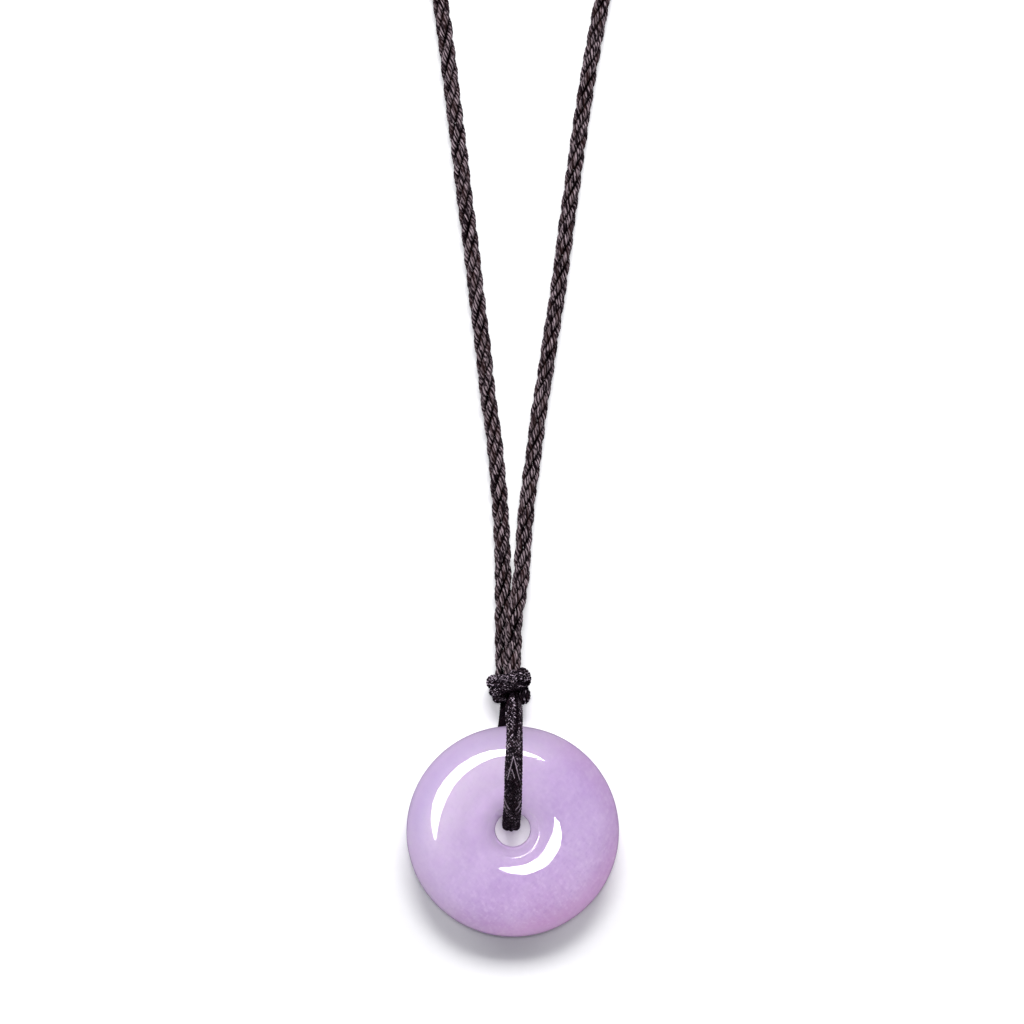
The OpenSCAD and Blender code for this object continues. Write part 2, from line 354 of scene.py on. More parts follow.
# How far off the rope's middle a yarn is hidden, and on top, in strand radii; hidden yarns are painted
# in shade and those on top get a painted sheen
YARN_RISE = [1.1, 2.05]
ROPE_SEED = 4
LEG_SIDES = 6
# Round the neck, out of the camera's view, the yarns are plainer
ROUND_NECK_SIDES = 5
ROUND_NECK_STRIDE = 3


def slow_wave(along, strand, wave):
    size, length, shift = wave
    return size * np.sin(along / length + strand * shift)


def rope_yarns():
    """Each yarn's middles, outward directions, shade and rise, how far along, and the rope's route."""
    draw = random.Random(ROPE_SEED)
    route, along = smooth_route(neck_route(), ROPE_STEP)
    first, second = square_to(ways_along(route), UP)
    near_knot = np.minimum(along, along[-1] - along)
    loose = LOOSE_SHARE * np.exp(-near_knot / LOOSE_LENGTH)
    yarns = []
    for strand in range(STRANDS):
        angle = TURN * (along / ROPE_LAY + strand / STRANDS)
        out = turned_round(first, second, angle + slow_wave(along, strand, LAY_WAVE))
        slack = 1 + slow_wave(along, strand, STRAND_WAVE) + loose
        middle = route + out * (STRAND_R * math.sqrt(2) * slack)[:, None]
        strand_out, strand_side = square_to(ways_along(middle), out)
        for yarn in range(STRAND_YARNS):
            start = draw.uniform(-TWIST_START, TWIST_START)
            twist = -TURN * (along / STRAND_TWIST + yarn / STRAND_YARNS) + start
            yarn_out = turned_round(strand_out, strand_side, twist)
            wander = 1 + YARN_WAVE * waver(along, draw, *YARN_WAVE_LENGTHS)
            place = middle + yarn_out * ((STRAND_R - YARN_D / 2) * wander)[:, None]
            off = np.linalg.norm(place - route, axis=1) / STRAND_R
            yarns.append((place, yarn_out, draw.random(), np.interp(off, YARN_RISE, [-1, 1])))
    return yarns, along, route


def rope_piece(name, material, yarns, along, first, last, stride, sides):
    """The rope from one step of its route to another, with a ring of each yarn every stride steps."""
    pick = np.arange(first, last + 1, stride)
    gathered = Yarns()
    for middles, outward, shade, rise in yarns:
        gathered.add(middles[pick], outward[pick], YARN_D, YARN_D, sides, along[pick], shade, rise[pick])
    return gathered.made(name, material)


def add_neck_cord(material):
    """Three pieces that meet ring to ring, so that none is too heavy."""
    yarns, along, route = rope_yarns()
    beyond = np.nonzero(route[:, 1] > knot_low_y + LEG_END)[0]
    first = beyond[0]
    last = first + (beyond[-1] - first) // ROUND_NECK_STRIDE * ROUND_NECK_STRIDE
    end = len(route) - 1
    return [
        rope_piece("neck_cord_left_leg", material, yarns, along, 0, first, 1, LEG_SIDES),
        rope_piece("neck_cord_right_leg", material, yarns, along, last, end, 1, LEG_SIDES),
        rope_piece("neck_cord_round_neck", material, yarns, along, first, last,
                   ROUND_NECK_STRIDE, ROUND_NECK_SIDES),
    ]


# The braided cords: half the yarns wind each way, over one and under the next

BRAID_YARN = 0.22 * MM
# The bail's braid is pressed a little wider than its cord
BAIL_BRAID_D = 1.36 * MM
BRAID_ANGLE = math.radians(36)
SMOOTH_BRAID_ANGLE = math.radians(20)
BRAID_STEP = 0.08 * MM
BRAID_SIDES = 6
# How far under the cord's outside the yarns' middles lie, and how far they lift where they
# cross, in yarn thicknesses
BRAID_INSET = 0.95
CROSSING_LIFT = 0.5
# How much of its room round the cord a yarn fills
YARN_FILLS = 0.8
# The yarns' fullness over all, and the size of a yarn's own wave and its lengths in millimetres
YARN_FULLNESS = (0.9, 1.1)
FULLNESS_WAVE = 0.12
FULLNESS_LENGTHS = (0.8, 2)
# How far a yarn drifts from its place round the cord, and over what lengths in millimetres
DRIFT_WAVE = 0.1
DRIFT_LENGTHS = (1.5, 4)
# How much lower a yarn counts, and so how much darker its painted shade is, where it shows no light and
# deep in a crease
UNLIT_DROP = 1.6
CREASE_DROP = 2
# The same painted shade where a yarn faces the bail's other cord, by how far along and by how squarely
# it faces it
BESIDE_DROP = ([12 * MM, 17 * MM], [2, 0.5])
BESIDE_FACING = 0.45
BESIDE_WIDTH = 0.4
# A plain core fills the braid, painted in the shade colour
CORE_INSET = 3.2 * BRAID_YARN
CORE_LEAST_D = 0.2 * MM
CORE_SIDES = 8

# Where the knot's turns press on one another and shade is painted: x and y above its low edge, and how
# wide that is
CREASES = [
    ((0.7, 3.05), (2.4, 2.85), 0.24), ((-1.5, 1.7), (0.0, 1.85), 0.2),
    ((0.2, 1.8), (1.1, 2.12), 0.22), ((1.1, 2.12), (2.3, 2.1), 0.2),
    ((-1.15, 1.3), (-0.55, 1.2), 0.45), ((-0.75, 0.9), (-0.6, 0.3), 0.25),
]


def in_creases(places):
    """How deep in a crease each place is, 0 to 1, for the painted shade there."""
    depth = np.zeros(len(places))
    for start, end, wide in CREASES:
        a = np.array(start) * MM + np.array([0, knot_low_y])
        b = np.array(end) * MM + np.array([0, knot_low_y])
        share = np.clip(((places[:, :2] - a) @ (b - a)) / ((b - a) @ (b - a)), 0, 1)
        off = np.linalg.norm(places[:, :2] - a - share[:, None] * (b - a), axis=1)
        depth = np.maximum(depth, np.exp(-(off / (wide * MM)) ** 2))
    return depth


def braid(gathered, points, hint, carriers, draw, lit, lay=BRAID_ANGLE, beside=None):
    """points are x, y, z and the diameter there; hint lies across the whole route.

    lit gives how far along, in mm, and how much of the painted sheen the yarns show there; less is
    painted shade.
    The yarns are painted darker on the side that lies beside another cord, and in the knot's creases.
    """
    route, along = smooth_route(points, BRAID_STEP)
    thick = route[:, 3]
    route = route[:, :3]
    first, second = square_to(ways_along(route), hint)
    each_way = carriers // 2
    lit_at, sheen_share = np.array(lit).T
    # Painted shade along the cord, where the yarns show less of the painted sheen
    hidden = UNLIT_DROP * (1 - np.interp(along, lit_at * MM, sheen_share))
    middle_r = thick / 2 - BRAID_YARN * BRAID_INSET
    turned = np.concatenate([[0], np.cumsum(np.diff(along) * math.tan(lay) / middle_r[1:])])
    crossing = turned * each_way / math.pi
    for carrier in range(carriers):
        way = 1 if carrier % 2 == 0 else -1
        drift = DRIFT_WAVE * waver(along, draw, *DRIFT_LENGTHS)
        angle = way * turned + TURN * (carrier // 2 + drift) / each_way
        lift = way * np.cos(math.pi * crossing)
        full = draw.uniform(*YARN_FULLNESS) + FULLNESS_WAVE * waver(along, draw, *FULLNESS_LENGTHS)
        radius = middle_r + BRAID_YARN * CROSSING_LIFT * lift * full
        wide = YARN_FILLS * TURN * middle_r / each_way * math.cos(lay) * full
        out = turned_round(first, second, angle)
        place = route + out * radius[:, None]
        # Painted shade: darker in the knot's creases and where a yarn faces the other cord
        painted_shade = hidden + CREASE_DROP * in_creases(place)
        if beside is not None:
            facing = np.clip((out @ np.array(beside) - BESIDE_FACING) / BESIDE_WIDTH, 0, 1)
            painted_shade = painted_shade + np.interp(along, *BESIDE_DROP) * facing
        gathered.add(place, out, wide, BRAID_YARN, BRAID_SIDES, along, draw.random(), lift - painted_shade)
    core = np.maximum(thick - CORE_INSET, CORE_LEAST_D)
    gathered.add(route, first, core, core, CORE_SIDES, along, 0.0, -1.0)


BAIL_CARRIERS = 18
BAIL_SEED = 11
# How full each cord of the bail is at its route's first points, drawn in at the knot and pressed full
# in the hole, and how much painted sheen it shows by millimetres along; where it shows less, shade is
# painted
BAIL_TIGHTNESS = {
    LEFT: [0.5, 0.5, 1.15, 1.4, 1.2, 1.15, 1.1, 1.06, 1.04, 1.08, 1.02, 1.0],
    RIGHT: [0.5, 0.5, 0.7, 0.9, 0.95, 1.08, 1.05, 1.05, 1.05, 1.08, 1.02, 1.0],
}
BAIL_LIT = {
    LEFT: ((1, 0), (3.0, 1.0), (8, 0.95), (11.5, 0.6), (15, 0.5), (22, 0.5), (26, 0.2)),
    RIGHT: ((1, 0), (3.0, 0.6), (6.5, 0.65), (9, 0.85), (11.5, 0.65), (15, 0.5), (22, 0.5), (26, 0.2)),
}
# Slack threads on the bail's front: x across and how far from the disc's middle
SLACK_THREADS = {
    LEFT: [((0.1, 11.3), (-0.1, 10.6), (-0.45, 9.3), (-0.75, 8.1)),
           ((-0.15, 9.6), (0.1, 8.9), (0.25, 8.3)),
           ((-1.2, 4.3), (-0.85, 3.4), (-0.3, 2.7)),
           ((-1.15, 5.3), (-0.95, 4.6), (-0.45, 3.7))],
    RIGHT: [((0.05, 11.4), (0.3, 10.7), (0.6, 9.5), (0.95, 8.1)),
            ((1.15, 3.9), (0.75, 3.2), (0.1, 2.7)),
            ((1.1, 5.0), (0.9, 4.3), (0.4, 3.6))],
}
THREAD_D = BRAID_YARN * 0.8
THREAD_SIDES = 6
THREAD_SHADE = 0.3
# A rise this high gives the threads a painted sheen all along
THREAD_RISE = 2.0
# A thread lies this far over the cords, and sinks this much where a cord's middle is CORD_HALF off
THREAD_LIFT = 0.2 * MM
THREAD_SINK = 0.3 * MM
CORD_MIDDLES = (-0.5 * MM, 0.62 * MM)
CORD_HALF = 0.68 * MM


def over_the_cords(x, r):
    """A place just over the bail's cords where they lie on the disc's front."""
    if r > CREST_R:
        h = math.sqrt(outer_face_r ** 2 - (r - CREST_R) ** 2) - outer_drop
    else:
        h = math.sqrt(inner_face_r ** 2 - (CREST_R - r) ** 2) - inner_drop
    off = min(abs(x - middle) for middle in CORD_MIDDLES)
    sunk = THREAD_SINK * (off / CORD_HALF) ** 2
    return leaned(x, r, h + BAIL_BRAID_D + SEAT_GAP + THREAD_LIFT - sunk)


# Yarns fill the groove between the cords at the hole, beside these points of the bail's route:
# diameter, and how far out of the groove
GROOVE_PART = slice(8, 13)
GROOVE_FILLING = [(0.7, 0.0), (1.0, 0.2), (1.1, 0.25), (1.05, 0.25), (0.7, 0.1)]
GROOVE_CARRIERS = 8
GROOVE_SEED = 13
# How much painted sheen the groove's yarns show; less is painted shade
GROOVE_LIT = ((0, 0.6),)


def groove_points():
    """Between the bail's two cords, from the disc's front through the hole."""
    places = sum(np.array(bail_route(side)[GROOVE_PART]) for side in (LEFT, RIGHT)) / 2
    outward = square_to(ways_along(places), ACROSS)[1]
    return [(*(place + out * lift * MM), thick * MM)
            for place, out, (thick, lift) in zip(places, outward, GROOVE_FILLING)]


def add_bail(side, name, material):
    gathered = Yarns()
    route = bail_route(side)
    tight = BAIL_TIGHTNESS[side] + [1.0] * (len(route) - len(BAIL_TIGHTNESS[side]))
    points = [(*place, BAIL_BRAID_D * share) for place, share in zip(route, tight)]
    beside = (1, 0, 0) if side == LEFT else (-1, 0, 0)
    braid(gathered, points, ACROSS, BAIL_CARRIERS, random.Random(BAIL_SEED + side), BAIL_LIT[side],
          beside=beside)
    if side == LEFT:
        braid(gathered, groove_points(), ACROSS, GROOVE_CARRIERS, random.Random(GROOVE_SEED), GROOVE_LIT)
    for thread in SLACK_THREADS[side]:
        places = [over_the_cords(x * MM, r * MM) for x, r in thread]
        middles, along = smooth_route(places, BRAID_STEP)
        gathered.add(middles, UP, THREAD_D, THREAD_D, THREAD_SIDES, along, THREAD_SHADE, THREAD_RISE)
    return gathered.made(name, material)


KNOT_CARRIERS = 28
KNOT_SEED = 21
# How much painted sheen the knot's yarns show by millimetres along; less is painted shade
KNOT_LIT = ((0, 1), (16, 0.95), (19, 0.75), (40, 0.8))
LOW_LOOP_CARRIERS = 24
LOW_LOOP_SEED = 22
# The same for the low loop
LOW_LOOP_LIT = ((0, 0.8),)


def knot_places(points):
    return [(x * MM, knot_low_y + y * MM, z * MM, d * MM) for x, y, z, d in points]


def add_knot(material):
    gathered = Yarns()
    braid(gathered, knot_places(KNOT_POINTS), TOWARDS_NECK, KNOT_CARRIERS, random.Random(KNOT_SEED),
          KNOT_LIT)
    braid(gathered, knot_places(LOW_LOOP_POINTS), ACROSS, LOW_LOOP_CARRIERS,
          random.Random(LOW_LOOP_SEED), LOW_LOOP_LIT, SMOOTH_BRAID_ANGLE)
    return gathered.made("knot_braid", material)


# The jade disc, its section spun round its axis

ARC_STEP = math.radians(2.5)
SPIN_STEPS = 400
LIP_R = 3.65 * MM
LIP_WIDTH = 0.13 * MM
LIP_HEIGHT = 0.053 * MM
# The section is cut finely over this many of the lip's widths, each way
LIP_SPREAD = 3
LIP_STEPS = 16
# Which way round the lip is highest, the shares of its height all round and there besides, and
# how steeply the second one fades
LIP_HIGHEST = math.radians(12)
LIP_SHARES = (0.8, 0.2)
LIP_FADE = (3, 1.4)
# Points of the spun section closer than this are one
MERGED = 0.002 * MM
# The hole is bored a little off the middle; the stone round it goes with it as far as this radius
HOLE_RISE = 0.3 * MM
HOLE_EVEN_R = 3.9 * MM


def arc(middle, radius, start, end):
    """Points (r, z) round middle, both ends included; angles in radians, 0 along +r."""
    count = max(2, math.ceil(abs(end - start) / ARC_STEP))
    return [(middle[0] + radius * math.cos(start + (end - start) * i / count),
             middle[1] + radius * math.sin(start + (end - start) * i / count)) for i in range(count + 1)]


def disc_section():
    inner_join = math.atan2(BORE_EDGE_Z + inner_drop, BORE_R + BORE_EDGE_R - CREST_R)
    outer_join = math.atan2(outer_drop, outer_run)
    upper = arc((BORE_R + BORE_EDGE_R, BORE_EDGE_Z), BORE_EDGE_R, math.pi, inner_join)
    inner = arc((CREST_R, -inner_drop), inner_face_r, inner_join, math.pi / 2)[1:]
    lip = [LIP_R + LIP_SPREAD * LIP_WIDTH * (2 * i / LIP_STEPS - 1) for i in range(LIP_STEPS + 1)]
    inner = [(r, z) for r, z in inner if r > lip[-1]]
    upper += [(r, math.sqrt(inner_face_r ** 2 - (CREST_R - r) ** 2) - inner_drop)
              for r in lip if r > upper[-1][0]] + inner
    upper += arc((CREST_R, -outer_drop), outer_face_r, math.pi / 2, outer_join)[1:]
    upper += arc((disc_r - RIM_R, 0), RIM_R, outer_join, 0)[1:]
    lower = [(r, -z) for r, z in reversed(upper[:-1])]
    return upper + lower


def add_disc(material):
    fresh()
    section = disc_section()
    bpy.ops.mesh.primitive_circle_add(vertices=len(section), radius=HALF_THICKNESS, fill_type="NOTHING")
    disc = bpy.context.object
    disc.name = disc.data.name = "jade_disc_stone"
    for vertex, (r, z) in zip(disc.data.vertices, section):
        vertex.co = (r, 0, z)
    bpy.ops.object.mode_set(mode="EDIT")
    bpy.ops.mesh.select_all(action="SELECT")
    bpy.ops.mesh.spin(steps=SPIN_STEPS, angle=TURN, center=(0, 0, 0), axis=UP)
    bpy.ops.mesh.select_all(action="SELECT")
    bpy.ops.mesh.remove_doubles(threshold=MERGED)
    bpy.ops.mesh.normals_make_consistent(inside=False)
    bpy.ops.object.mode_set(mode="OBJECT")
    places = np.empty(len(disc.data.vertices) * 3)
    disc.data.vertices.foreach_get("co", places)
    places = places.reshape(-1, 3)
    reach = np.linalg.norm(places[:, :2], axis=1)
    towards = np.cos(np.arctan2(places[:, 1], places[:, 0]) - LIP_HIGHEST)
    highest = np.clip(LIP_FADE[0] * towards - LIP_FADE[1], 0, 1)
    lip = LIP_HEIGHT * (LIP_SHARES[0] + LIP_SHARES[1] * highest)
    places[:, 2] += lip * np.exp(-((reach - LIP_R) / LIP_WIDTH) ** 2) * (places[:, 2] > 0)
    share = np.clip((CREST_R - reach) / (CREST_R - HOLE_EVEN_R), 0, 1)
    places[:, 1] += HOLE_RISE * share ** 2 * (3 - 2 * share)
    disc.data.vertices.foreach_set("co", places.ravel())
    disc.data.update()
    disc.rotation_euler = (lean, 0, 0)
    disc.location = disc_middle
    bpy.ops.object.transform_apply(location=True, rotation=True, scale=True)
    bpy.ops.object.shade_smooth()
    disc.data.materials.append(material)
    return disc


# Materials

def set_inputs(node, values):
    """Constants on a node's sockets, by the sockets' names."""
    for name, value in values.items():
        node.inputs[name].default_value = value


class Nodes:
    """Short calls for adding and joining shader nodes."""

    def __init__(self, tree):
        self.tree = tree

    def add(self, kind, **settings):
        node = self.tree.nodes.new(kind)
        for key, value in settings.items():
            setattr(node, key, value)
        return node

    def join(self, output, socket):
        self.tree.links.new(output, socket)

    def put(self, value, socket):
        """Another node's output, a colour or a number goes into the socket."""
        if isinstance(value, bpy.types.NodeSocket):
            self.join(value, socket)
        elif socket.type == "RGBA":
            socket.default_value = (*value, 1)
        else:
            socket.default_value = value

    def noise(self, vector, scale, detail, roughness=0.5, distortion=0.0):
        node = self.add("ShaderNodeTexNoise")
        set_inputs(node, {"Scale": scale, "Detail": detail, "Roughness": roughness,
                          "Distortion": distortion})
        self.join(vector, node.inputs["Vector"])
        return node.outputs["Fac"]

    def scaled(self, vector, scale=(1, 1, 1), location=(0, 0, 0), turn=0.0):
        node = self.add("ShaderNodeMapping")
        set_inputs(node, {"Scale": scale, "Location": location, "Rotation": (0, 0, turn)})
        self.join(vector, node.inputs["Vector"])
        return node.outputs["Vector"]

    def span(self, value, low, high, to_low=0.0, to_high=1.0):
        """Goes smoothly from to_low to to_high as the value goes from low to high."""
        node = self.add("ShaderNodeMapRange", interpolation_type="SMOOTHSTEP")
        set_inputs(node, {"From Min": low, "From Max": high, "To Min": to_low, "To Max": to_high})
        self.join(value, node.inputs["Value"])
        return node.outputs["Result"]

    def mix(self, share, first, second):
        """A colour between two; each may be a colour or a socket."""
        node = self.add("ShaderNodeMix", data_type="RGBA")
        colours = [s for s in node.inputs if s.type == "RGBA"]
        for value, socket in zip((share, first, second), (node.inputs["Factor"], *colours)):
            self.put(value, socket)
        return next(s for s in node.outputs if s.type == "RGBA")

    def maths(self, operation, first, second=0.0):
        node = self.add("ShaderNodeMath", operation=operation)
        self.put(first, node.inputs[0])
        self.put(second, node.inputs[1])
        return node.outputs[0]

    def times(self, first, *others):
        for other in others:
            first = self.maths("MULTIPLY", first, other)
        return first

    def vector_maths(self, operation, *vectors):
        node = self.add("ShaderNodeVectorMath", operation=operation)
        for vector, socket in zip(vectors, node.inputs):
            self.join(vector, socket)
        return node.outputs["Value" if operation == "LENGTH" else "Vector"]

    def relief(self, height, strength, distance):
        node = self.add("ShaderNodeBump")
        set_inputs(node, {"Strength": strength, "Distance": distance})
        self.join(height, node.inputs["Height"])
        return node


def new_material(name):
    material = bpy.data.materials.new(name)
    material.use_nodes = True
    tree = material.node_tree
    return material, Nodes(tree), tree.nodes["Principled BSDF"]


# The cords' silk, with a painted sheen on the yarns' crowns and painted shade between them. A span says
# from where to where, and most also say what it gives there
FIBRES_DETAIL = 2.0
PATCHES_DETAIL = 1.0
CROWN_LIT = (0.4, 1.0)
ON_TOP_LIT = (-0.5, 0.7)
PATCHES_LIT = (0.0, 0.12, 0.006, 1.0)
FIBRES_LIT = (0.3, 0.65, 0.3, 1.0)
SLACK_LIT = (1.4, 1.8, 0, 0.3)
WARM_YARNS = (0.55, 0.9)
SILK_ROUGHNESS = (0.3, 0.7, 0.5, 0.36)
# How far on in the fibres' pattern a yarn of shade 1 starts
YARNS_APART = 57.0
SILK_RELIEF = (0.9, 0.04 * MM)
SILK_GLOSS = 0.08
SILK_GLOSS_TINT = (1, 0.75, 1, 1)

GROUP_COLORS = ("Shadow Color", "Painted Sheen Color", "Warm Color")
GROUP_SHARES = ("Warm Share", "Sheenless Share")
GROUP_MARKS = ("Fibres Round", "Fibres Along", "Patches Round", "Patches Along")
TWISTED_SILK = {
    "Shadow Color": (0.003, 0.0012, 0.0018, 1), "Painted Sheen Color": (0.225, 0.175, 0.192, 1),
    "Warm Color": (0.022, 0.010, 0.009, 1), "Warm Share": 0.5, "Sheenless Share": 0.42,
    "Fibres Round": 14, "Fibres Along": 1.2, "Patches Round": 3.0, "Patches Along": 1.4,
}
BRAIDED_SILK = {
    "Shadow Color": (0.0010, 0.0003, 0.0011, 1), "Painted Sheen Color": (0.46, 0.375, 0.455, 1),
    "Warm Color": (0.010, 0.004, 0.006, 1), "Warm Share": 0.5, "Sheenless Share": 0.51,
    "Fibres Round": 11, "Fibres Along": 1.6, "Patches Round": 1.5, "Patches Along": 2.6,
}


def yarn_fibres():
    """Group: colours, roughness and fine relief of silky fibres lying along a yarn, with a painted sheen
    on its crown and painted shade elsewhere.
    """
    tree = bpy.data.node_groups.new("yarn_fibres", "ShaderNodeTree")
    for way, kind, names in (("INPUT", "NodeSocketColor", GROUP_COLORS),
                             ("INPUT", "NodeSocketFloat", GROUP_SHARES + GROUP_MARKS),
                             ("OUTPUT", "NodeSocketColor", ("Color",)),
                             ("OUTPUT", "NodeSocketFloat", ("Roughness", "Relief"))):
        for name in names:
            tree.interface.new_socket(name=name, in_out=way, socket_type=kind)
    nodes = Nodes(tree)
    given = nodes.add("NodeGroupInput").outputs
    result = nodes.add("NodeGroupOutput").inputs
    uv = nodes.add("ShaderNodeTexCoord").outputs["UV"]
    shade = nodes.add("ShaderNodeAttribute", attribute_name="yarn_shade").outputs["Fac"]
    rise = nodes.add("ShaderNodeAttribute", attribute_name="yarn_rise_and_shade").outputs["Fac"]
    drift = nodes.add("ShaderNodeCombineXYZ")
    nodes.join(nodes.times(shade, YARNS_APART), drift.inputs["Z"])

    def stretched(round_it, along_it):
        """The map with that many marks round a yarn and to a millimetre of it, other on each yarn."""
        scale = nodes.add("ShaderNodeCombineXYZ")
        nodes.join(given[round_it], scale.inputs["X"])
        nodes.join(given[along_it], scale.inputs["Y"])
        return nodes.vector_maths("MULTIPLY_ADD", uv, scale.outputs["Vector"], drift.outputs["Vector"])

    fibres = nodes.noise(stretched("Fibres Round", "Fibres Along"), 1.0, FIBRES_DETAIL)
    patches = nodes.noise(stretched("Patches Round", "Patches Along"), 1.0, PATCHES_DETAIL)
    # Painted sheen only on the crown of each yarn, where it lies on top, and in patches along it;
    # elsewhere the yarn is painted in the shade colour
    split = nodes.add("ShaderNodeSeparateXYZ")
    nodes.join(uv, split.inputs["Vector"])
    round_yarn = nodes.maths("COSINE", nodes.times(split.outputs["X"], TURN))
    sheen_on_crown = nodes.times(nodes.span(round_yarn, *CROWN_LIT), nodes.span(rise, *ON_TOP_LIT))
    sheen_patch = nodes.maths("SUBTRACT", patches, given["Sheenless Share"])
    sheen_patches = nodes.times(nodes.span(sheen_patch, *PATCHES_LIT), nodes.span(fibres, *FIBRES_LIT))
    # Slack threads, which rise highest, have the painted sheen all along
    sheen_patches = nodes.maths("MAXIMUM", sheen_patches, nodes.span(rise, *SLACK_LIT))
    # The yarn's colour, from the painted shade to the painted sheen
    silk = nodes.mix(nodes.times(sheen_on_crown, sheen_patches), given["Shadow Color"], given["Painted Sheen Color"])
    warm = nodes.times(nodes.span(shade, *WARM_YARNS), given["Warm Share"])
    nodes.join(nodes.mix(warm, silk, given["Warm Color"]), result["Color"])
    nodes.join(nodes.span(fibres, *SILK_ROUGHNESS), result["Roughness"])
    nodes.join(fibres, result["Relief"])
    return tree


def cord_material(name, group, silk):
    material, nodes, shader = new_material(name)
    fibres = nodes.add("ShaderNodeGroup", node_tree=group)
    set_inputs(fibres, silk)
    relief = nodes.relief(fibres.outputs["Relief"], *SILK_RELIEF)
    nodes.join(relief.outputs["Normal"], shader.inputs["Normal"])
    nodes.join(fibres.outputs["Color"], shader.inputs["Base Color"])
    nodes.join(fibres.outputs["Roughness"], shader.inputs["Roughness"])
    set_inputs(shader, {"Specular IOR Level": SILK_GLOSS, "Specular Tint": SILK_GLOSS_TINT})
    return material


LAVENDER = (0.56, 0.42, 0.67)
PALE_LILAC = (0.70, 0.57, 0.79)
PALEST_LILAC = (0.74, 0.64, 0.80)
BLUE_LILAC = (0.52, 0.45, 0.73)
MAUVE = (0.55, 0.345, 0.60)
ROSE = (0.63, 0.38, 0.61)
PALE_FELT = (0.78, 0.66, 0.86)
DARK_GRAIN = (0.42, 0.27, 0.56)
PALE_GRAIN = (0.80, 0.68, 0.86)
RIM_LILAC = (0.41, 0.25, 0.41)
RIM_ROSE = (0.74, 0.44, 0.74)
EDGE_GLOW = (0.20, 0.155, 0.23)
SOFT_GLOW = (0.15, 0.11, 0.165)
BLACK = (0, 0, 0)
WHITE = (1, 1, 1)

# Marks in the stone: their scale, detail, roughness and distortion
CLOUDS = (150, 4.0, 0.55, 0.3)
WIDE_CLOUDS = (55, 3.0, 0.5, 0.4)
FELT = (900, 3.0, 0.6, 0.4)
FELT_SHIFT = (0.01, 0, 0)
GRAIN = (2300, 1.0, 0.5)
GRAIN_TURNS = (0.6, -0.75)
GRAIN_STRETCH = (1, 0.4, 1)
POLISH = (160, 1.0, 0.4)
# Measures that grow across and up the stone by so much for each of its radii, and waver
GROWS = {"left": (-1, 0), "high_left": (-0.8, 0.6), "low_right": (0.55, -0.85)}
GROWS_WAVERING = 1.6
NOISE_MIDDLE = 0.5
# Colours laid over the lavender in turn: by which measure, and its span with the shares there. The upper
# left is painted paler, as painted light from that side; the darker, pinker lower right is partly the
# stone's tone and partly painted shade
LAID_OVER = [
    ("left", (0.4, 1.2, 0, 0.7), BLUE_LILAC),
    ("high_left", (-0.2, 0.8, 0, 0.95), PALEST_LILAC),
    ("low_right", (0.1, 1.3, 0, 0.9), MAUVE),
    ("low_right", (0.8, 1.6, 0, 0.6), ROSE),
    ("clouds", (0.3, 0.75, 0, 0.4), PALE_LILAC),
    ("felt", (0.35, 0.75, 0, 0.22), PALE_FELT),
]
GRAIN_STRENGTH = (-0.7, 0.9, 0.3, 1.05)
GRAIN_MARKS = [((0.7, 0.95, 0.22, 0), DARK_GRAIN), ((1.05, 1.3, 0, 0.28), PALE_GRAIN)]
# Rings of colour, by how far from the middle, and the share of a ring by another measure
# Paler near the hole: painted light, as though lit through the thin stone there
NEAR_HOLE = (3.2 * MM, 7.5 * MM, 0.55, 0)
BLUE_RING = (11 * MM, 13.5 * MM)
BLUE_RING_SHARE = (0.0, 1.0, 0, 0.5)
# Darker towards the rim: painted shade, lighter and pinker on the lower right
NEAR_RIM = (disc_r - 3.6 * MM, disc_r - 0.3 * MM, 0, 0.26)
ROSY_RIM_SHARE = (0.2, 1.2, 0, 1.9)
# The glow's two parts, by how far from the hole's middle, how low, and how far to the upper left
EDGE_GLOWS = (BORE_R, BORE_R + 0.4 * MM, 1, 0)
EDGE_GLOWS_LOW = (-0.1, 0.03, 1, 0)
SOFT_GLOW_FADES = (4.3 * MM, 7.5 * MM, 1, 0)
SOFT_GLOW_STARTS = (2.8 * MM, 3.6 * MM)
SOFT_GLOW_HIGH_LEFT = (0.0, 0.3)
# The share of light that falls through, by how far from the middle
LETS_THROUGH = (8 * MM, 11 * MM, 0.95, 0)
JADE_RELIEF = (0.5, 0.06 * MM)
JADE_ROUGHNESS = (0.3, 0.7, 0.03, 0.06)
JADE_SHADER = {
    "IOR": 1.66, "Subsurface Weight": 1.0, "Subsurface Radius": (1.0, 0.85, 1.05),
    "Subsurface Scale": 9.0 * MM, "Emission Strength": 1.0,
}
# How much further the reflections lean towards the neck on the stone's right, per metre
UNEVEN_POLISH = 5.0


